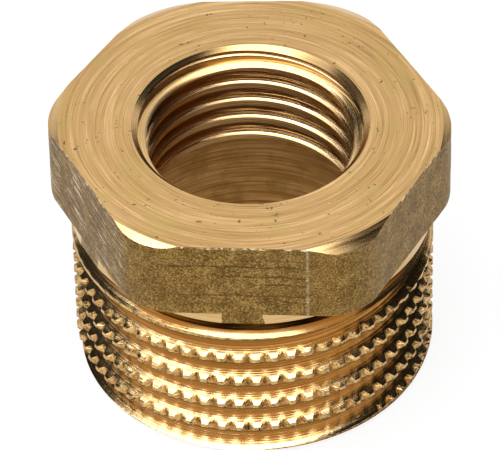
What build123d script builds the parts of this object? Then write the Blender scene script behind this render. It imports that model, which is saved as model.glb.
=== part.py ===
from build123d import *
from math import radians, tan
import os

os.makedirs("parts", exist_ok=True)

# Reducing bushing, G 1/2 outside and G 1/4 inside. It stands on its threaded end:
# the origin is the centre of that end face and +Z is the axis, up to the hexagon.
# All sizes are in millimetres.

# Hexagon
across_flats = 21.0
hexagon_height = 5.2
edge_round = 3.4
top_chamfer_diameter = 22.0
top_chamfer_angle = 30.0

# Turned collar under the hexagon, a little wider than the flats
collar_diameter = 21.14
collar_height = 0.6

# Male thread, G 1/2
male_major_diameter = 20.955
male_minor_diameter = 18.631
flank_angle = 27.5
threaded_end_height = 10.4
relief_width = 0.4
end_chamfer = 0.45

# Female thread, G 1/4, and the recess behind it
female_drill_diameter = 11.8
mouth_diameter = 13.6
female_thread_length = 6.5
recess_diameter = 15.0
recess_mouth_chamfer = 0.4

# Heights that follow from the sizes above
collar_bottom = threaded_end_height
hexagon_bottom = collar_bottom + collar_height
top = hexagon_bottom + hexagon_height
recess_top = top - female_thread_length

# Radii that follow from the sizes above
male_radius = male_major_diameter / 2
relief_radius = male_minor_diameter / 2
thread_depth = male_radius - relief_radius
drill_radius = female_drill_diameter / 2
mouth_radius = mouth_diameter / 2
recess_radius = recess_diameter / 2
collar_radius = collar_diameter / 2
top_chamfer_radius = top_chamfer_diameter / 2
clear_radius = across_flats

# The last flank of the male thread runs from the relief out to the crest
relief_bottom = collar_bottom - relief_width
thread_top = relief_bottom - thread_depth * tan(radians(flank_angle))
top_chamfer_drop = (clear_radius - top_chamfer_radius) * tan(radians(top_chamfer_angle))

with BuildPart() as bushing:
    # Forged hexagon, corners on the X axis, made as deep as the collar as well
    with BuildSketch(Plane.XY.offset(collar_bottom)) as hexagon_outline:
        RegularPolygon(radius=across_flats / 2, side_count=6, major_radius=False)
        fillet(hexagon_outline.vertices(), radius=edge_round)
    extrude(amount=top - collar_bottom)

    # The collar is turned out of the hexagon, so each flat leaves a narrow tab on it
    with BuildSketch(Plane.XZ) as collar_cut:
        with BuildLine():
            Polyline(
                (collar_radius, collar_bottom),
                (clear_radius, collar_bottom),
                (clear_radius, hexagon_bottom),
                (collar_radius, hexagon_bottom),
                close=True,
            )
        make_face()
    revolve(axis=Axis.Z, mode=Mode.SUBTRACT)

    # Turned chamfer over the six corners
    with BuildSketch(Plane.XZ) as corner_cut:
        with BuildLine():
            Polyline(
                (top_chamfer_radius, top),
                (clear_radius, top),
                (clear_radius, top - top_chamfer_drop),
                close=True,
            )
        make_face()
    revolve(axis=Axis.Z, mode=Mode.SUBTRACT)

    # Threaded end: end chamfer, crest, last flank and relief
    with BuildSketch(Plane.XZ) as shank_profile:
        with BuildLine():
            Polyline(
                (0, 0),
                (male_radius - end_chamfer, 0),
                (male_radius, end_chamfer),
                (male_radius, thread_top),
                (relief_radius, relief_bottom),
                (relief_radius, collar_bottom),
                (0, collar_bottom),
                close=True,
            )
        make_face()
    revolve(axis=Axis.Z)

    # Bore: mouth chamfer, female thread's drilled wall, and the wider recess below it
    with BuildSketch(Plane.XZ) as bore_profile:
        with BuildLine():
            Polyline(
                (0, top),
                (mouth_radius, top),
                (drill_radius, top - (mouth_radius - drill_radius)),
                (drill_radius, recess_top),
                (recess_radius, recess_top),
                (recess_radius, recess_mouth_chamfer),
                (recess_radius + recess_mouth_chamfer, 0),
                (0, 0),
                close=True,
            )
        make_face()
    revolve(axis=Axis.Z, mode=Mode.SUBTRACT)

bushing.part.label = "hex_bushing"
export_step(bushing.part, "parts/hex_bushing.step")
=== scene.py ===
import bpy
from math import atan2, ceil, cos, degrees, hypot, pi, radians, sin, tan
from mathutils import Matrix, Vector


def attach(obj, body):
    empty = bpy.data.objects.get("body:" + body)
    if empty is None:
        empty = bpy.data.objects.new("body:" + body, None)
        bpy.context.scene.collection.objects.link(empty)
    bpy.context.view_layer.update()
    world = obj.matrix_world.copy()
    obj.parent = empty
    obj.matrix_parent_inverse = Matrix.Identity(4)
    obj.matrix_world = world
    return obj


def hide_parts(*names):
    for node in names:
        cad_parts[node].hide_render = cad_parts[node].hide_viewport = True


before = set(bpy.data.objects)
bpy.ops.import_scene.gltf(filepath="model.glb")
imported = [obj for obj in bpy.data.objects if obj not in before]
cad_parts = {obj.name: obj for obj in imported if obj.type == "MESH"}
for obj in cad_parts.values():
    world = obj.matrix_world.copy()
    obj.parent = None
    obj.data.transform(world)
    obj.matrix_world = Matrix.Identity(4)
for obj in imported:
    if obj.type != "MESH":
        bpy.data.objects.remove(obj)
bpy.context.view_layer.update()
MM = 0.001

# Sizes are in millimetres. CLEAR keeps two cuts' surfaces apart, and points closer than DOUBLES are one point
CLEAR = 0.03
DOUBLES = 0.0005

# The hexagon and the collar under it
TOP = 16.2
HEX_BOTTOM = 11.12
COLLAR_BOTTOM = 10.4
BAR_RADIUS = 15
HEAD_REACH = 14
EDGE_ROUND = 3.4
COLLAR_RADIUS = 10.48
TOP_CHAMFER_RADIUS = 11.0
TOP_CHAMFER_SLOPE = tan(radians(30))
BURR = 0.11

# The male thread, and the rim and lip between it and the groove under the collar
MALE_RADIUS = 10.4775
MALE_ROOT = 9.3155
MALE_FLANK_MARK = 9.8
MALE_PITCH = 1.814
END_CHAMFER = 0.3
RELIEF_BOTTOM = 9.47
RIM_START = RELIEF_BOTTOM - 0.225
RIM_TOP = RELIEF_BOTTOM - 0.07
RIM_RADIUS = 10.27
STEP_BOTTOM = RELIEF_BOTTOM - 0.12
STEP_RADIUS = 10.24
LIP_RADIUS = 10.02

# The tapped bore, its mouth and the wider recess below it
TAP_RADIUS = 6.5785
TAP_MIDDLE = 6.1505
TAP_FLANK_MARK = 6.2
DRILL_RADIUS = 5.9
TAP_PITCH = 1.337
MOUTH_RADIUS = 6.8
MOUTH_WALL_TOP = TOP - 0.33
MOUTH_WALL_BOTTOM = TOP - 0.84
MOUTH_WALL_RADIUS = 6.47
SHOULDER_RADIUS = 6.45
SHOULDER_EDGE_RADIUS = 6.12
SHOULDER_EDGE = TOP - 0.88
SHOULDER_BOTTOM = TOP - 1.01
RECESS_TOP = 9.7
RECESS_RADIUS = 7.5
RECESS_CHAMFER = 0.4

# The form of a 55 degree thread: its flanks' slope, and how its crest and root are rounded
FLANK_SLOPE = tan(radians(27.5))
FLANK_TURN = 62.5
CREST_ROUND = 0.1
CREST_TURNS = (0, 31, FLANK_TURN)
ROOT_ROUND = 0.1373
ROOT_TURNS = (FLANK_TURN, 40, 20)

# The knurl on the male crests, and the heights at which its notches start and fade out
NOTCHES = 64
COLUMNS = 6 * NOTCHES
NOTCH_RADIUS = 10.13
NOTCH_SIDE = 0.45
NICK = 0.05
FIRST_NOTCH = 0.56
FULL_NOTCHES_END = 7.5
DEEP_NOTCHES_END = 7.65
HALF_NOTCHES_END = 7.85
TORN_CRESTS_END = 8.4

# Where the threads and the knurl stand, in degrees round the axis and millimetres up it
FRONT = 272.6
MALE_CREST = 7.42
NOTCH_AT = FRONT - 180 / NOTCHES
BACK = FRONT - 180
TAP_CREST = 15.16

# The scar across the front flat, and how far the wandering gouges lie below their path
SCAR = 3.45
GOUGE_DROP = 0.25

# The floor in metres, and the colours of the finishes
FLOOR_SIZE = 4
BRASS = (0.66, 0.42, 0.18)
PALE_BRASS = (0.74, 0.50, 0.24)
DEEP_BRASS = (0.50, 0.29, 0.10)
TARNISH = (0.20, 0.11, 0.035)
DIRT = (0.06, 0.035, 0.015)
FACE_SHADE = (0.31, 0.185, 0.06)
FACE_DEEP = (0.49, 0.295, 0.115)
FACE_BRASS = (0.565, 0.345, 0.145)
FACE_PALE = (0.75, 0.51, 0.25)
FACE_STAIN = (0.49, 0.345, 0.115)
SKIN_SHADE = (0.095, 0.048, 0.008)
SKIN = (0.225, 0.130, 0.032)
SKIN_LIGHT = (0.46, 0.295, 0.095)
SCRATCH = (0.88, 0.76, 0.55)
BURR_METAL_AND_GLINT = (0.90, 0.74, 0.48)
THREAD_SHADE = (0.30, 0.155, 0.04)
THREAD_DEEP = (0.56, 0.335, 0.125)
THREAD_PALE = (0.84, 0.64, 0.38)
ROOT_SHADE = (0.15, 0.082, 0.02)
NOTCH_DEEP = (0.44, 0.26, 0.09)
NOTCH_PALE = (0.78, 0.51, 0.21)
# The black of the painted shade under the knurled crests, also used to darken the last turn
CREST_BLACK = (0.012, 0.007, 0.003)
GROOVE_SHADE = (0.26, 0.14, 0.04)
GROOVE_BRASS = (0.66, 0.42, 0.17)
# The painted shade in the groove under the collar
GROOVE_PAINTED_SHADE = (0.045, 0.024, 0.008)
BORE_SHADE = (0.27, 0.125, 0.03)
BORE_BRASS = (0.43, 0.225, 0.06)
BORE_PALE = (0.60, 0.36, 0.13)
BORE_STAIN = (0.25, 0.12, 0.03)


def start_edit(obj):
    """Only obj is selected, in edit mode, with none of its points selected."""
    bpy.ops.object.select_all(action="DESELECT")
    obj.select_set(True)
    bpy.context.view_layer.objects.active = obj
    bpy.ops.object.mode_set(mode="EDIT")
    bpy.ops.mesh.select_mode(type="VERT")
    bpy.ops.mesh.select_all(action="DESELECT")


def end_edit():
    bpy.ops.object.mode_set(mode="OBJECT")


def stop_to_choose(obj):
    """Leaves edit mode with nothing of obj selected."""
    end_edit()
    for parts in (obj.data.vertices, obj.data.edges, obj.data.polygons):
        parts.foreach_set("select", [False] * len(parts))


def edit_chosen(points=False, edges=False, faces=False):
    bpy.context.tool_settings.mesh_select_mode = (points, edges, faces)
    bpy.ops.object.mode_set(mode="EDIT")


def select_points(obj, wanted):
    """In edit mode, selects the points for which wanted(radius, degrees, height) is true, in millimetres."""
    stop_to_choose(obj)
    chosen = []
    for point in obj.data.vertices:
        x, y, z = point.co / MM
        chosen.append(bool(wanted(hypot(x, y), degrees(atan2(y, x)) % 360, z)))
    obj.data.vertices.foreach_set("select", chosen)
    edit_chosen(points=True)


def select_edges(obj, wanted):
    """In edit mode, selects the edges for which wanted(one end, other end) is true, in millimetres."""
    stop_to_choose(obj)
    points = obj.data.vertices
    for edge in obj.data.edges:
        one, other = (points[i].co / MM for i in edge.vertices)
        edge.select = wanted(one, other)
    edit_chosen(edges=True)


def select_faces(obj, wanted):
    """In edit mode, selects the faces for which wanted(centre, normal) is true, in millimetres."""
    stop_to_choose(obj)
    for face in obj.data.polygons:
        face.select = wanted(face.center / MM, face.normal)
    edit_chosen(faces=True)


def profile(name, points):
    """A line through (radius, height) points, drawn by extruding one point after the other."""
    bpy.ops.object.select_all(action="DESELECT")
    bpy.ops.mesh.primitive_circle_add(vertices=3, radius=MM, location=(0, 0, 0))
    line = bpy.context.object
    line.name = name
    line.data.name = name
    bpy.ops.object.mode_set(mode="EDIT")
    bpy.ops.mesh.select_mode(type="VERT")
    bpy.ops.mesh.select_all(action="SELECT")
    bpy.ops.mesh.merge(type="CENTER")
    here = Vector((points[0][0], 0, points[0][1]))
    bpy.ops.transform.translate(value=here * MM)
    for radius, height in points[1:]:
        there = Vector((radius, 0, height))
        bpy.ops.mesh.extrude_region_move(TRANSFORM_OT_translate={"value": (there - here) * MM})
        here = there
    end_edit()
    return line


def merge_doubles(obj):
    start_edit(obj)
    bpy.ops.mesh.select_all(action="SELECT")
    bpy.ops.mesh.remove_doubles(threshold=DOUBLES * MM)
    bpy.ops.mesh.normals_make_consistent(inside=False)
    end_edit()


def turned(name, points):
    """A solid turned on the lathe from (radius, height) points that start and end on the axis."""
    solid = profile(name, points)
    start_edit(solid)
    bpy.ops.mesh.select_all(action="SELECT")
    bpy.ops.mesh.spin(steps=3 * NOTCHES, angle=2 * pi, center=(0, 0, 0), axis=(0, 0, 1))
    end_edit()
    merge_doubles(solid)
    return solid


def cut(obj, tool, operation):
    """Joins the tool to obj, cuts it away or keeps what lies inside it. The tool is then gone."""
    bpy.ops.object.select_all(action="DESELECT")
    obj.select_set(True)
    bpy.context.view_layer.objects.active = obj
    boolean = obj.modifiers.new("cut", "BOOLEAN")
    boolean.operation = operation
    boolean.object = tool
    boolean.solver = "EXACT"
    boolean.material_mode = "TRANSFER"
    bpy.ops.object.modifier_apply(modifier="cut")
    bpy.data.objects.remove(tool)


def crest_ring(outer, turn):
    """Radius of the rounded edge of a crest where its surface has turned that many degrees."""
    return outer - CREST_ROUND * (1 - cos(radians(turn)))


def ridge(outer, inner, middle, pitch, rounded, marks):
    """One turn of a 55 degree ridge as (radius, height) points, its crest at height 0."""

    def half_width(radius):
        return pitch / 4 - (radius - middle) * FLANK_SLOPE

    upper = [(outer, 0)]
    if rounded:
        flat = half_width(outer) - CREST_ROUND * tan(radians(FLANK_TURN / 2))
        for turn in CREST_TURNS:
            upper.append((crest_ring(outer, turn), flat + CREST_ROUND * sin(radians(turn))))
    else:
        upper.append((outer, half_width(outer)))
    upper += [(radius, half_width(radius)) for radius in marks]
    if rounded:
        rounding = ROOT_ROUND * pitch
        for turn in ROOT_TURNS:
            drop = rounding * (1 - cos(radians(turn)))
            upper.append((inner + drop, pitch / 2 - rounding * sin(radians(turn))))
    else:
        upper.append((inner, half_width(inner)))
    upper.append((inner, pitch / 2))
    lower = [(radius, -height) for radius, height in reversed(upper[1:])]
    return lower + upper


def close_end(solid, tip, at_this_end):
    """Draws an open end of the winding together to a tip on the axis."""
    start_edit(solid)
    bpy.ops.mesh.select_non_manifold(extend=False)
    end_edit()
    points = solid.data.vertices
    for point in points:
        point.select = point.select and at_this_end(point.co.z / MM)
    for edge in solid.data.edges:
        edge.select = edge.select and all(points[i].select for i in edge.vertices)
    bpy.ops.object.mode_set(mode="EDIT")
    bpy.ops.mesh.extrude_region_move()
    bpy.ops.transform.resize(value=(0, 0, 0), center_override=(0, 0, tip * MM))
    end_edit()


def threaded(name, turn, pitch, at, crest, low, high, steps):
    """A solid with that ridge wound round it, right-handed, its crest at height crest at the angle at."""
    solid = profile(name, turn)
    below = ceil((crest - low) / pitch) + 1
    screw = solid.modifiers.new("screw", "SCREW")
    screw.axis = "Z"
    screw.screw_offset = pitch * MM
    screw.iterations = below + ceil((high - crest) / pitch) + 1
    screw.steps = steps
    screw.render_steps = steps
    screw.use_merge_vertices = False
    bpy.ops.object.modifier_apply(modifier="screw")
    solid.location.z = (crest - below * pitch) * MM
    solid.rotation_euler.z = radians(at)
    bpy.ops.object.transform_apply()
    merge_doubles(solid)
    tip = 4 * pitch
    close_end(solid, low - tip, lambda height: height < low)
    close_end(solid, high + tip, lambda height: height > high)
    merge_doubles(solid)
    return solid


def press(male, from_notch, share, bottom, top):
    """Presses the crest inwards in the columns at that angle from a notch, between two heights."""
    spacing = 360 / NOTCHES

    def in_column(radius, angle, height):
        if radius <= NOTCH_RADIUS + CLEAR or not bottom < height <= top:
            return False
        off = abs((angle - NOTCH_AT + spacing / 2) % spacing - spacing / 2)
        return abs(off - from_notch) < spacing / 24

    select_points(male, in_column)
    pressed = 1 - (1 - NOTCH_RADIUS / MALE_RADIUS) * share
    bpy.ops.transform.resize(value=(pressed, pressed, 1), center_override=(0, 0, 0))


def press_notches(male, share, bottom, top):
    """Presses what lies between two heights of all notches, to that share of their depth."""
    press(male, 360 / COLUMNS, NOTCH_SIDE * share, bottom, top)
    press(male, 0, share, bottom, top)


def torn_crest(radius, angle, height):
    """The crests, up to where they are left smooth near the head."""
    return radius > NOTCH_RADIUS - CLEAR and height < TORN_CRESTS_END


def notch_side(radius, angle, height):
    """The half-pressed columns at the sides of a notch."""
    return NOTCH_RADIUS + CLEAR < radius < MALE_RADIUS - 3 * CLEAR


def knurled(male):
    """Presses the V notches of the knurl into the crests, down to mere nicks near the head."""
    start_edit(male)
    press_notches(male, 1, FIRST_NOTCH, FULL_NOTCHES_END)
    press_notches(male, 0.8, FULL_NOTCHES_END, DEEP_NOTCHES_END)
    press_notches(male, 0.5, DEEP_NOTCHES_END, HALF_NOTCHES_END)
    press_notches(male, NICK, HALF_NOTCHES_END, TOP)
    select_points(male, torn_crest)
    bpy.ops.transform.vertex_random(offset=0.006 * MM, uniform=0, normal=1, seed=5)
    select_points(male, notch_side)
    bpy.ops.transform.vertex_random(offset=0.03 * MM, uniform=0, normal=1, seed=8)
    select_faces(male, lambda centre, normal: hypot(centre.x, centre.y) > NOTCH_RADIUS - CLEAR)
    bpy.ops.mesh.quads_convert_to_tris(quad_method="LONGEST_DIAGONAL")
    end_edit()


def give(obj, *materials):
    for material in materials:
        obj.data.materials.append(material)


def paint(obj, index, wanted):
    """Faces of obj for which wanted(centre, normal) is true get its material of that index."""
    for face in obj.data.polygons:
        if wanted(face.center / MM, face.normal):
            face.material_index = index


def on_crest(centre, normal):
    """The crests' lands, their rounded lower edges and the notches between them."""
    radius = hypot(centre.x, centre.y)
    outward = (centre.x * normal.x + centre.y * normal.y) / radius
    if radius > MALE_RADIUS - CREST_ROUND / 2:
        return outward > 0.95 or (outward > 0.4 and normal.z < 0)
    return radius > NOTCH_RADIUS - CLEAR and outward > 0.5


def in_groove(centre, normal):
    """What lies above the rim's step and inside its lip."""
    return hypot(centre.x, centre.y) < LIP_RADIUS and centre.z > STEP_BOTTOM


def make_threaded_end(finishes):
    """The knurled thread, kept only inside a blank with the end chamfer, the rim and the groove."""
    crest = MALE_CREST + (NOTCH_AT - FRONT) / 360 * MALE_PITCH
    middle = (MALE_RADIUS + MALE_ROOT) / 2
    turn = ridge(MALE_RADIUS, MALE_ROOT, middle, MALE_PITCH, True, (NOTCH_RADIUS, MALE_FLANK_MARK))
    male = threaded("male_thread", turn, MALE_PITCH, NOTCH_AT, crest, 0, COLLAR_BOTTOM, COLUMNS)
    knurled(male)
    give(male, finishes["thread"], finishes["knurl"])
    paint(male, 1, on_crest)
    relief_radius = MALE_ROOT - 0.5 * CLEAR
    crest_radius = MALE_RADIUS + CLEAR
    blank = turned(
        "blank",
        [
            (0, 0),
            (MALE_RADIUS - END_CHAMFER, 0),
            (crest_radius, END_CHAMFER + CLEAR),
            (crest_radius, RIM_START),
            (RIM_RADIUS, RIM_TOP),
            (STEP_RADIUS, STEP_BOTTOM),
            (LIP_RADIUS, RELIEF_BOTTOM),
            (relief_radius, STEP_BOTTOM),
            (relief_radius, HEX_BOTTOM),
            (0, HEX_BOTTOM),
        ],
    )
    give(blank, finishes["turned"], finishes["groove"])
    paint(blank, 1, in_groove)
    cut(blank, male, "INTERSECT")
    return blank


def mill_flat(bar, faces, distance, draft=0):
    """Cuts one flat of the hexagon: the way it faces in degrees, its distance at the top and its draft."""
    start_edit(bar)
    bpy.ops.mesh.select_all(action="SELECT")
    outwards = Vector((cos(radians(faces)), sin(radians(faces)), 0))
    point = (outwards * distance + Vector((0, 0, TOP))) * MM
    outwards.z = -tan(radians(draft))
    bpy.ops.mesh.bisect(plane_co=point, plane_no=outwards, use_fill=True, clear_outer=True)
    end_edit()


def upright(one, other):
    """An edge that runs up a corner of the hexagon."""
    return abs(one.z - other.z) > 1 and hypot(one.x - other.x, one.y - other.y) < 0.5


def level_and_long(one, other):
    """An edge that runs across the whole width of a flat."""
    return abs(one.z - other.z) < 0.2 and hypot(one.x - other.x, one.y - other.y) > 1


def roughen(obj, grain, height):
    """Gives a forged surface its slight unevenness, with a soft pattern of that grain and height."""
    pattern = bpy.data.textures.new("forging", "CLOUDS")
    pattern.noise_scale = grain * MM
    pattern.noise_depth = 3
    uneven = obj.modifiers.new("uneven", "DISPLACE")
    uneven.texture = pattern
    uneven.strength = height * MM
    bpy.ops.object.modifier_apply(modifier="uneven")
    bpy.data.textures.remove(pattern)


def make_hexagon(finishes):
    """The forged hexagon with its six uneven flats, kept only inside the turned outline of the head."""
    height = TOP - COLLAR_BOTTOM + 1
    bpy.ops.object.select_all(action="DESELECT")
    bpy.ops.mesh.primitive_cylinder_add(
        vertices=36,
        radius=BAR_RADIUS * MM,
        depth=height * MM,
        location=(0, 0, (COLLAR_BOTTOM - 0.5 + height / 2) * MM),
    )
    hexagon = bpy.context.object
    hexagon.name = "bushing"
    hexagon.data.name = "bushing"
    bpy.ops.object.transform_apply()
    give(hexagon, finishes["forged"])
    mill_flat(hexagon, faces=268.7, distance=10.41)
    mill_flat(hexagon, faces=332.7, distance=10.58, draft=0.2)
    mill_flat(hexagon, faces=30.2, distance=10.44)
    mill_flat(hexagon, faces=91.4, distance=10.62)
    mill_flat(hexagon, faces=149.5, distance=10.72)
    mill_flat(hexagon, faces=208.8, distance=10.42)
    start_edit(hexagon)
    select_edges(hexagon, upright)
    corner_offset = EDGE_ROUND * tan(radians(30))
    bpy.ops.mesh.bevel(offset=corner_offset * MM, segments=12, profile=0.5, clamp_overlap=False)
    select_edges(hexagon, upright)
    bpy.ops.mesh.subdivide(number_cuts=19)
    select_edges(hexagon, level_and_long)
    bpy.ops.mesh.subdivide(number_cuts=51)
    end_edit()
    roughen(hexagon, grain=1.1, height=0.05)
    head = turned(
        "head_blank",
        [
            (0, COLLAR_BOTTOM),
            (COLLAR_RADIUS, COLLAR_BOTTOM),
            (COLLAR_RADIUS, HEX_BOTTOM),
            (HEAD_REACH, HEX_BOTTOM),
            (HEAD_REACH, TOP - (HEAD_REACH - TOP_CHAMFER_RADIUS) * TOP_CHAMFER_SLOPE),
            (TOP_CHAMFER_RADIUS, TOP),
            (0, TOP),
        ],
    )
    give(head, finishes["turned"], finishes["face"])
    paint(head, 1, lambda centre, normal: centre.z > TOP - CLEAR)
    cut(hexagon, head, "INTERSECT")
    return hexagon


def make_bore_cutters(finishes):
    """What is cut out of the bushing: the recess, the mouth with its shoulder, and the tapped thread."""
    beyond = 1
    recess = turned(
        "recess",
        [
            (0, -beyond),
            (RECESS_RADIUS + RECESS_CHAMFER + beyond, -beyond),
            (RECESS_RADIUS, RECESS_CHAMFER),
            (RECESS_RADIUS, RECESS_TOP),
            (0, RECESS_TOP),
        ],
    )
    give(recess, finishes["satin"])
    mouth = turned(
        "mouth",
        [
            (0, RECESS_TOP - beyond),
            (DRILL_RADIUS - CLEAR, RECESS_TOP - beyond),
            (DRILL_RADIUS - CLEAR, SHOULDER_BOTTOM),
            (SHOULDER_EDGE_RADIUS, SHOULDER_EDGE),
            (SHOULDER_RADIUS, MOUTH_WALL_BOTTOM),
            (MOUTH_WALL_RADIUS, MOUTH_WALL_TOP),
            (MOUTH_RADIUS + beyond, TOP + beyond),
            (0, TOP + beyond),
        ],
    )
    give(mouth, finishes["turned"])
    turn = ridge(TAP_RADIUS, DRILL_RADIUS, TAP_MIDDLE, TAP_PITCH, False, (TAP_FLANK_MARK,))
    crest = TAP_CREST + TAP_PITCH / 2
    tap = threaded("tap", turn, TAP_PITCH, BACK, crest, RECESS_TOP, TOP, 3 * NOTCHES)
    give(tap, finishes["tapped"])
    return recess, mouth, tap


class Finish:
    """A brass finish that is put together from a few nodes. Its lengths are in millimetres."""

    def __init__(self, name, roughness):
        self.material = bpy.data.materials.new(name)
        self.material.use_nodes = True
        self.nodes = self.material.node_tree.nodes
        self.links = self.material.node_tree.links
        self.shader = self.nodes["Principled BSDF"]
        self.shader.inputs["Metallic"].default_value = 1
        self.shader.inputs["Roughness"].default_value = roughness
        place = self.nodes.new("ShaderNodeTexCoord").outputs["Object"]
        in_mm = self.nodes.new("ShaderNodeVectorMath")
        in_mm.operation = "SCALE"
        in_mm.inputs["Scale"].default_value = 1 / MM
        self.links.new(place, in_mm.inputs[0])
        self.place = in_mm.outputs[0]
        parts = self.nodes.new("ShaderNodeSeparateXYZ")
        self.links.new(self.place, parts.inputs[0])
        self.x, self.y, self.z = parts.outputs
        squares = self.plus(self.times(self.x, self.x), self.times(self.y, self.y))
        self.radius = self.math("SQRT", squares)

    def put(self, value, socket):
        if isinstance(value, (int, float, tuple)):
            socket.default_value = value
        else:
            self.links.new(value, socket)

    def math(self, operation, *values):
        node = self.nodes.new("ShaderNodeMath")
        node.operation = operation
        for value, socket in zip(values, node.inputs):
            self.put(value, socket)
        return node.outputs[0]

    def plus(self, first, *others):
        for other in others:
            first = self.math("ADD", first, other)
        return first

    def less(self, one, other):
        return self.math("SUBTRACT", one, other)

    def times(self, first, *others):
        for other in others:
            first = self.math("MULTIPLY", first, other)
        return first

    def over(self, one, other):
        return self.math("DIVIDE", one, other)

    def most(self, first, *others):
        for other in others:
            first = self.math("MAXIMUM", first, other)
        return first

    def vector(self, x, y, z):
        node = self.nodes.new("ShaderNodeCombineXYZ")
        for value, socket in zip((x, y, z), node.inputs):
            self.put(value, socket)
        return node.outputs[0]

    def noise(self, place, size=1, detail=3, roughness=0.6):
        """Soft noise from about 0.3 to 0.7 with blots of that size."""
        node = self.nodes.new("ShaderNodeTexNoise")
        self.put(place, node.inputs["Vector"])
        node.inputs["Scale"].default_value = 1 / size
        node.inputs["Detail"].default_value = detail
        node.inputs["Roughness"].default_value = roughness
        return node.outputs["Fac"]

    def between(self, value, low, high, start=0, end=1):
        """Where the value goes from low to high, the result goes from start to end and stays inside them."""
        node = self.nodes.new("ShaderNodeMapRange")
        node.clamp = True
        self.put(value, node.inputs["Value"])
        self.put(low, node.inputs["From Min"])
        self.put(high, node.inputs["From Max"])
        self.put(start, node.inputs["To Min"])
        self.put(end, node.inputs["To Max"])
        return node.outputs[0]

    def spread(self, noise, start, end):
        """A noise from start, where it is low, to end, where it is high."""
        return self.between(noise, 0.3, 0.7, start, end)

    def colours(self, value, *stops):
        """A colour for each value, from stops of (value, colour)."""
        ramp = self.nodes.new("ShaderNodeValToRGB")
        self.put(value, ramp.inputs["Fac"])
        points = ramp.color_ramp.elements
        while len(points) < len(stops):
            points.new(0.5)
        for point, (at, colour) in zip(points, stops):
            point.position = at
            point.color = (*colour, 1)
        return ramp.outputs["Color"]

    def mix(self, amount, one, other):
        """One colour where the amount is 0 and the other where it is 1."""
        node = self.nodes.new("ShaderNodeMix")
        node.data_type = "RGBA"
        self.put(amount, node.inputs[0])
        for colour, socket in ((one, node.inputs[6]), (other, node.inputs[7])):
            self.put((*colour, 1) if isinstance(colour, tuple) else colour, socket)
        return node.outputs[2]

    def along(self, across, length, fine):
        """A place for streaks that run round the axis: fine across them and long along them."""
        slow = self.over(self.z, length)
        return self.vector(
            self.over(across, fine),
            self.plus(self.over(self.x, length), slow),
            self.less(self.over(self.y, length), slow),
        )

    def along_thread(self, pitch, length, fine):
        """The same for streaks that follow a right-handed thread of that pitch."""
        turn = self.over(self.math("ARCTAN2", self.y, self.x), 2 * pi)
        phase = self.times(self.less(self.over(self.z, pitch), turn), 2 * pi)
        size = pitch / 2 / fine
        slow = self.vector(
            self.over(self.x, length),
            self.over(self.y, length),
            self.plus(self.over(self.z, length), self.over(self.radius, fine)),
        )
        round_it = self.vector(
            self.times(self.math("COSINE", phase), size),
            self.times(self.math("SINE", phase), size),
            0,
        )
        node = self.nodes.new("ShaderNodeVectorMath")
        self.links.new(slow, node.inputs[0])
        self.links.new(round_it, node.inputs[1])
        return node.outputs[0]

    def above_crest(self, crest, pitch):
        """Height above the nearest crest of a thread whose crest stands at that height at the front."""
        turn = self.less(self.math("ARCTAN2", self.y, self.x), radians(FRONT))
        turns = self.over(turn, 2 * pi)
        pitches = self.over(self.less(self.z, crest), pitch)
        many_and_half = 10.5
        off = self.math("FRACT", self.plus(self.less(pitches, turns), many_and_half))
        return self.times(self.less(off, 0.5), pitch)

    def colour(self, value):
        self.put(value, self.shader.inputs["Base Color"])

    def not_metal(self, amount):
        """Makes the brass that much less metal: the dirt in the gouges, and the painted shade and darker last
        turn on the knurl.
        """
        self.put(self.less(1, amount), self.shader.inputs["Metallic"])
        self.shader.inputs["Specular IOR Level"].default_value = 0

    def roughness(self, value):
        self.put(value, self.shader.inputs["Roughness"])

    def relief(self, *heights):
        """Bump from heights in millimetres that are added up."""
        bump = self.nodes.new("ShaderNodeBump")
        bump.inputs["Distance"].default_value = MM
        self.put(self.plus(*heights), bump.inputs["Height"])
        self.links.new(bump.outputs[0], self.shader.inputs["Normal"])


def turned_face():
    """Faced on the lathe: fine rings, a few pits and faint stains."""
    finish = Finish("turned_face", 0.3)
    rings = finish.noise(finish.along(finish.radius, length=9, fine=0.28), detail=5, roughness=0.75)
    fine = finish.noise(finish.along(finish.radius, length=5, fine=0.07), detail=2)
    stains = finish.noise(finish.place, size=2.2, detail=4)
    brass = finish.colours(
        finish.plus(finish.times(rings, 0.65), finish.times(fine, 0.35)),
        (0.34, FACE_SHADE),
        (0.44, FACE_DEEP),
        (0.52, FACE_BRASS),
        (0.64, FACE_PALE),
    )
    stained = finish.mix(finish.between(stains, 0.5, 0.62, 0, 0.45), brass, FACE_STAIN)
    specks = finish.between(finish.noise(finish.place, size=0.22, detail=1), 0.69, 0.73)
    some_places = finish.between(finish.noise(finish.place, size=1.3, detail=1), 0.48, 0.56)
    pits = finish.times(specks, some_places)
    finish.colour(finish.mix(pits, stained, TARNISH))
    finish.roughness(finish.spread(fine, 0.24, 0.38))
    finish.relief(finish.times(rings, 0.012), finish.times(fine, 0.004), finish.times(pits, -0.03))
    return finish.material


def gouge(finish, height, up, left, right, depth):
    """A gouge across the front flat at that height, between its left and right ends."""
    off = finish.math("ABSOLUTE", finish.less(height, up + GOUGE_DROP))
    line = finish.between(off, 0.03, 0.09, depth, 0)
    starts = finish.between(finish.x, left, left + 1)
    ends = finish.between(finish.x, right, right + 0.2, 1, 0)
    return finish.times(line, starts, ends)


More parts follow.
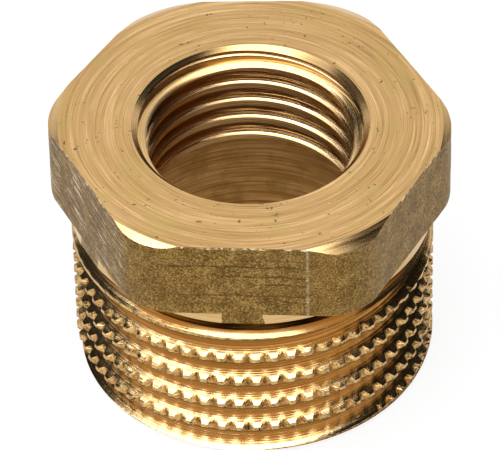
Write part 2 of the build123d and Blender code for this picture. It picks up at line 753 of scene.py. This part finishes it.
def gouges_and_scar(finish):
    """The gouges on the front flat and the upright scar that they stop at, as two masks."""
    facing_front = finish.between(finish.y, -10.1, -9.9, 1, 0)
    wander = finish.noise(finish.vector(finish.over(finish.x, 2.5), 3, 0))
    height = finish.plus(finish.z, finish.times(wander, 0.5))
    broken = finish.noise(finish.vector(finish.over(finish.x, 0.6), finish.over(finish.z, 0.2), 5), detail=2)
    gouges = finish.most(
        gouge(finish, height, up=15.25, left=-0.8, right=3.4, depth=0.5),
        gouge(finish, height, up=14.75, left=-5.4, right=3.4, depth=0.9),
        gouge(finish, height, up=14.0, left=-1.4, right=3.3, depth=0.85),
        gouge(finish, height, up=13.4, left=-0.6, right=3.4, depth=0.8),
        gouge(finish, height, up=12.55, left=-4.6, right=3.2, depth=0.7),
        gouge(finish, height, up=12.1, left=0.6, right=3.4, depth=0.6),
    )
    gouges = finish.times(gouges, facing_front, finish.between(broken, 0.35, 0.5))
    off_scar = finish.plus(finish.math("ABSOLUTE", finish.less(finish.x, SCAR)), finish.times(broken, 0.1))
    patches = finish.noise(finish.vector(1, 2, finish.over(finish.z, 0.5)))
    ragged = finish.between(patches, 0.42, 0.6, 0.1, 1)
    scar = finish.times(finish.between(off_scar, 0.08, 0.16, 0.7, 0), ragged, facing_front)
    return gouges, scar


def left_flat_marks(finish, grain, mottle):
    """Where the left flat is rubbed bright and where it is scored dark, along lines that slope down."""
    along = finish.less(finish.times(finish.x, 0.48), finish.times(finish.y, 0.876))
    sloping = finish.plus(finish.z, finish.times(along, 0.16))
    lines = finish.noise(finish.vector(finish.over(sloping, 0.1), finish.over(along, 3), 7), roughness=0.65)
    on_left = finish.times(finish.between(finish.x, -6.7, -7.3), finish.between(finish.y, 0.6, 0, 0, 1))
    rubbed = finish.times(
        finish.between(lines, 0.57, 0.61),
        on_left,
        finish.between(mottle, 0.4, 0.52, 0.35, 1),
        finish.between(grain, 0.42, 0.52, 0.5, 1),
    )
    scored = finish.times(finish.between(lines, 0.52, 0.36), on_left)
    return rubbed, scored


def torn_burr(finish):
    """Bright specks of torn metal in clumps along the top edge, partly a painted glint where the edge catches
    the light.
    """
    torn = finish.noise(finish.place, size=0.3, detail=2)
    clumps = finish.noise(finish.place, size=1.1, detail=1)
    edge = finish.plus(finish.z, finish.spread(torn, -BURR, BURR))
    return finish.times(
        finish.between(edge, TOP - BURR, TOP - 0.7 * BURR),
        finish.between(torn, 0.48, 0.54),
        finish.between(clumps, 0.46, 0.54, 0.1, 1),
    )


def forged_skin():
    """The blasted skin of the forging: dull, grainy and darker, with marks on two of the flats."""
    finish = Finish("forged_skin", 0.5)
    drawn_out = finish.vector(finish.x, finish.times(finish.y, 0.45), finish.z)
    grain = finish.noise(drawn_out, size=0.11, roughness=0.75)
    mottle = finish.noise(finish.place, size=0.9)
    tone = finish.plus(finish.times(grain, 0.8), finish.times(mottle, 0.2))
    skin = finish.colours(tone, (0.38, SKIN_SHADE), (0.5, SKIN), (0.6, SKIN_LIGHT))
    gouges, scar = gouges_and_scar(finish)
    rubbed, scored = left_flat_marks(finish, grain, mottle)
    burr = torn_burr(finish)
    scratches = finish.most(finish.times(scar, 0.5), finish.times(rubbed, 0.85))
    marked = finish.mix(finish.most(gouges, finish.times(scored, 0.7)), skin, DIRT)
    finish.colour(finish.mix(burr, finish.mix(scratches, marked, SCRATCH), BURR_METAL_AND_GLINT))
    finish.not_metal(gouges)
    finish.roughness(finish.spread(grain, 0.42, 0.6))
    finish.relief(
        finish.times(grain, 0.035),
        finish.times(mottle, 0.03),
        finish.times(gouges, -0.03),
        finish.times(scratches, 0.01),
        finish.times(burr, 0.05),
    )
    return finish.material


def cut_thread(name, pitch, long, fine, deep, middle, root):
    """A cut thread: bright, with tool marks along it, and painted shade from that middle radius to its root.
    """
    finish = Finish(name, 0.18)
    marks = finish.noise(finish.along_thread(pitch, long, fine), detail=4, roughness=0.7)
    broad = finish.noise(finish.along_thread(pitch, 1.6 * long, 2.6 * fine), detail=2)
    brass = finish.colours(
        finish.plus(finish.times(marks, 0.55), finish.times(broad, 0.45)),
        (0.36, THREAD_SHADE),
        (0.44, THREAD_DEEP),
        (0.51, BRASS),
        (0.6, THREAD_PALE),
    )
    near_root = finish.between(finish.radius, middle, root, 0, 0.75)
    shade = finish.times(near_root, finish.between(marks, 0.62, 0.45, 0.4, 1))
    finish.colour(finish.mix(shade, brass, ROOT_SHADE))
    finish.roughness(finish.spread(marks, 0.09, 0.22))
    finish.relief(finish.times(marks, 0.005 * deep), finish.times(broad, 0.014 * deep))
    return finish.material


def knurled_crest():
    """The pressed notches and the torn metal round them, with painted shade under the crests and a darker
    last turn.
    """
    finish = Finish("knurled_crest", 0.35)
    torn = finish.noise(finish.place, size=0.11, roughness=0.7)
    patches = finish.noise(finish.place, size=0.4, detail=2)
    tone = finish.plus(finish.times(torn, 0.6), finish.times(patches, 0.4))
    brass = finish.colours(tone, (0.40, DIRT), (0.45, NOTCH_DEEP), (0.58, NOTCH_PALE))
    # Painted shade: a dark line along the rounded lower edge of each crest
    under_crest = finish.times(
        finish.between(finish.above_crest(MALE_CREST, MALE_PITCH), -0.07, -0.09),
        finish.between(finish.radius, 10.36, 10.40),
        finish.between(patches, 0.34, 0.42, 0.3, 0.95),
    )
    # The last turn at the end of the thread is made darker too
    last_turn = finish.times(
        finish.between(finish.z, FIRST_NOTCH + 0.08, FIRST_NOTCH),
        finish.between(torn, 0.4, 0.55, 1, 0.55),
    )
    darkened = finish.most(under_crest, last_turn)
    finish.colour(finish.mix(darkened, brass, CREST_BLACK))
    finish.not_metal(darkened)
    finish.roughness(finish.spread(torn, 0.25, 0.5))
    finish.relief(finish.times(torn, 0.02))
    return finish.material


def turned_edge():
    """Turned collar, rim, mouth and chamfers, with rings round the axis."""
    finish = Finish("turned_edge", 0.22)
    across = finish.plus(finish.radius, finish.z)
    rings = finish.noise(finish.along(across, length=7, fine=0.12), detail=4, roughness=0.7)
    finish.colour(finish.colours(rings, (0.32, DEEP_BRASS), (0.48, BRASS), (0.66, PALE_BRASS)))
    finish.roughness(finish.spread(rings, 0.16, 0.3))
    finish.relief(finish.times(rings, 0.005))
    return finish.material


def dark_groove():
    """The groove under the collar, with painted shade that is darkest across the front and back and fades out
    towards the sides.
    """
    finish = Finish("dark_groove", 0.3)
    rings = finish.noise(finish.along(finish.z, length=6, fine=0.1), detail=4, roughness=0.7)
    brass = finish.colours(rings, (0.4, GROOVE_SHADE), (0.6, GROOVE_BRASS))
    # Painted shade under the collar, full between these x values and fading out towards the sides
    dark = finish.times(
        finish.between(finish.x, -4.5, -1.5),
        finish.between(finish.x, 3.2, 5.5, 1, 0),
        finish.between(rings, 0.66, 0.5),
    )
    finish.colour(finish.mix(finish.times(dark, 0.94), brass, GROOVE_PAINTED_SHADE))
    finish.relief(finish.times(rings, 0.006))
    return finish.material


def satin_bore():
    """The bored recess: satin, with faint rings and dull patches."""
    finish = Finish("satin_bore", 0.4)
    rings = finish.noise(finish.along(finish.z, length=6, fine=0.16), detail=4, roughness=0.7)
    dull = finish.noise(finish.place, size=1.4, detail=4)
    brass = finish.colours(rings, (0.36, BORE_SHADE), (0.5, BORE_BRASS), (0.62, BORE_PALE))
    finish.colour(finish.mix(finish.between(dull, 0.48, 0.66, 0, 0.6), brass, BORE_STAIN))
    finish.roughness(finish.spread(rings, 0.34, 0.46))
    finish.relief(finish.times(rings, 0.006))
    return finish.material


def make_finishes():
    return {
        "thread": cut_thread("cut_thread", MALE_PITCH, long=9, fine=0.08, deep=1, middle=9.75, root=9.38),
        "knurl": knurled_crest(),
        "forged": forged_skin(),
        "turned": turned_edge(),
        "groove": dark_groove(),
        "face": turned_face(),
        "tapped": cut_thread("tapped_thread", TAP_PITCH, long=16, fine=0.13, deep=3, middle=6.35, root=6.56),
        "satin": satin_bore(),
    }


def on_top_face(one, other):
    """An edge that lies in the top face or round it."""
    return min(one.z, other.z) > TOP - DOUBLES


def make_bushing():
    """The whole bushing in one piece: head and threaded end joined, and the bore cut out of them."""
    finishes = make_finishes()
    bushing = make_hexagon(finishes)
    cut(bushing, make_threaded_end(finishes), "UNION")
    for cutter in make_bore_cutters(finishes):
        cut(bushing, cutter, "DIFFERENCE")
    start_edit(bushing)
    bpy.ops.mesh.select_all(action="SELECT")
    bpy.ops.mesh.remove_doubles(threshold=DOUBLES * MM)
    end_edit()
    bpy.ops.object.shade_smooth_by_angle(angle=radians(25))
    select_edges(bushing, on_top_face)
    bpy.ops.mesh.mark_sharp()
    end_edit()
    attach(bushing, "root")
    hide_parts("hex_bushing")
    return bushing


def seen_by_camera_or_gloss(nodes, links):
    """1 for rays from the camera, off metal or through glass, and 0 for the rest."""
    path = nodes.new("ShaderNodeLightPath")
    total = path.outputs["Is Camera Ray"]
    for name in ("Is Glossy Ray", "Is Transmission Ray"):
        larger = nodes.new("ShaderNodeMath")
        larger.operation = "MAXIMUM"
        links.new(total, larger.inputs[0])
        links.new(path.outputs[name], larger.inputs[1])
        total = larger.outputs[0]
    return total


def add_panel(name, centre, size, normal):
    bpy.ops.object.select_all(action="DESELECT")
    bpy.ops.mesh.primitive_plane_add(size=1, location=centre)
    panel = bpy.context.object
    panel.name = name
    panel.scale = (*size, 1)
    panel.rotation_euler = Vector(normal).to_track_quat("Z", "Y").to_euler()
    return panel


def make_floor():
    """A white floor that keeps the bushing's shadow, and all of the shade inside the bore."""
    floor = add_panel("floor", (0, 0, 0), (FLOOR_SIZE, FLOOR_SIZE), (0, 0, 1))
    material = bpy.data.materials.new("white_floor")
    material.use_nodes = True
    nodes, links = material.node_tree.nodes, material.node_tree.links
    shader = nodes["Principled BSDF"]
    shader.inputs["Base Color"].default_value = (0.8, 0.8, 0.8, 1)
    shader.inputs["Roughness"].default_value = 0.9
    shader.inputs["Specular IOR Level"].default_value = 0
    glow = nodes.new("ShaderNodeEmission")
    glow.inputs["Strength"].default_value = 1
    place = nodes.new("ShaderNodeTexCoord")
    from_axis = nodes.new("ShaderNodeVectorMath")
    from_axis.operation = "LENGTH"
    links.new(place.outputs["Object"], from_axis.inputs[0])
    outside = nodes.new("ShaderNodeMapRange")
    outside.inputs["From Min"].default_value = 0.9 * MALE_ROOT * MM / FLOOR_SIZE
    outside.inputs["From Max"].default_value = MALE_ROOT * MM / FLOOR_SIZE
    outside.inputs["To Max"].default_value = 0.85
    links.new(from_axis.outputs["Value"], outside.inputs["Value"])
    shown = nodes.new("ShaderNodeMath")
    shown.operation = "MULTIPLY"
    links.new(seen_by_camera_or_gloss(nodes, links), shown.inputs[0])
    links.new(outside.outputs[0], shown.inputs[1])
    both = nodes.new("ShaderNodeMixShader")
    links.new(shown.outputs[0], both.inputs[0])
    links.new(shader.outputs[0], both.inputs[1])
    links.new(glow.outputs[0], both.inputs[2])
    links.new(both.outputs[0], nodes["Material Output"].inputs["Surface"])
    floor.data.materials.append(material)


def make_world():
    """A white world that lights the bushing at half the level that the camera and the metal see."""
    world = bpy.data.worlds.new("studio")
    bpy.context.scene.world = world
    world.use_nodes = True
    nodes, links = world.node_tree.nodes, world.node_tree.links
    level = nodes.new("ShaderNodeMapRange")
    level.inputs["To Min"].default_value = 0.5
    level.inputs["To Max"].default_value = 1
    links.new(seen_by_camera_or_gloss(nodes, links), level.inputs["Value"])
    links.new(level.outputs[0], nodes["Background"].inputs["Strength"])
    nodes["Background"].inputs["Color"].default_value = (1, 1, 1, 1)


def add_softbox(name, centre, size, brightness):
    """A level area light that shines down and is brightness times as bright as white."""
    light = bpy.data.lights.new(name, "AREA")
    light.shape = "RECTANGLE"
    light.size, light.size_y = size
    light.energy = brightness * pi * size[0] * size[1]
    lamp = bpy.data.objects.new(name, light)
    bpy.context.scene.collection.objects.link(lamp)
    lamp.location = centre
    lamp.rotation_euler = Vector((0, 0, 1)).to_track_quat("Z", "Y").to_euler()
    lamp.visible_camera = False


def add_flag(name, centre, size, normal, material):
    """A black card that only the metal reflects."""
    flag = add_panel(name, centre, size, normal)
    flag.data.materials.append(material)
    flag.visible_camera = False
    flag.visible_diffuse = False
    flag.visible_shadow = False
    flag.visible_transmission = False


def make_lights():
    """Two softboxes above, and black cards at the sides that give the brass its dark reflections."""
    add_softbox("overhead", centre=(-0.105, -0.165, 0.5), size=(0.55, 0.77), brightness=3.8)
    add_softbox("overhead_edge", centre=(-0.1125, -0.115, 0.5), size=(0.575, 0.67), brightness=0.8)
    black = bpy.data.materials.new("black_card")
    black.use_nodes = True
    shader = black.node_tree.nodes["Principled BSDF"]
    shader.inputs["Base Color"].default_value = (0.02, 0.02, 0.02, 1)
    shader.inputs["Roughness"].default_value = 1
    shader.inputs["Specular IOR Level"].default_value = 0
    faces_left = (-1, 0, 0)
    faces_right = (1, 0, 0)
    add_flag("flag_right", (0.45, -0.08, 0.56), (0.78, 1.12), faces_left, black)
    add_flag("flag_back_right", (0.45, 0.51, 0.7), (0.4, 0.86), faces_left, black)
    add_flag("flag_left", (-0.45, 0.165, 0.55), (0.43, 0.9), faces_right, black)
    add_flag("flag_back_left", (-0.45, 0.565, 0.64), (0.37, 0.74), faces_right, black)


def make_camera():
    """The camera, its focal length given in pixels of a render that is 500 pixels wide."""
    azimuth, elevation, roll = radians(2.5), radians(43.1), radians(-1.25)
    distance = 0.300
    focal_pixels = 5173
    render_width = 500
    back = Vector((sin(azimuth) * cos(elevation), -cos(azimuth) * cos(elevation), sin(elevation)))
    right = Vector((cos(azimuth), sin(azimuth), 0))
    up = back.cross(right)
    turned_right = right * cos(roll) + up * sin(roll)
    turned_up = up * cos(roll) - right * sin(roll)
    aim = Vector((0, 0, 8 * MM)) - turned_right * 0.157 * MM + turned_up * 0.174 * MM
    lens = bpy.data.cameras.new("camera")
    lens.sensor_width = 36
    lens.lens = focal_pixels / render_width * lens.sensor_width
    lens.clip_start = 0.01
    lens.clip_end = 10
    camera = bpy.data.objects.new("camera", lens)
    bpy.context.scene.collection.objects.link(camera)
    camera.matrix_world = Matrix((turned_right, turned_up, back)).transposed().to_4x4()
    camera.location = aim + back * distance
    bpy.context.scene.camera = camera


make_bushing()
make_floor()
make_world()
make_lights()
make_camera()
bpy.context.scene.view_settings.view_transform = "Standard"
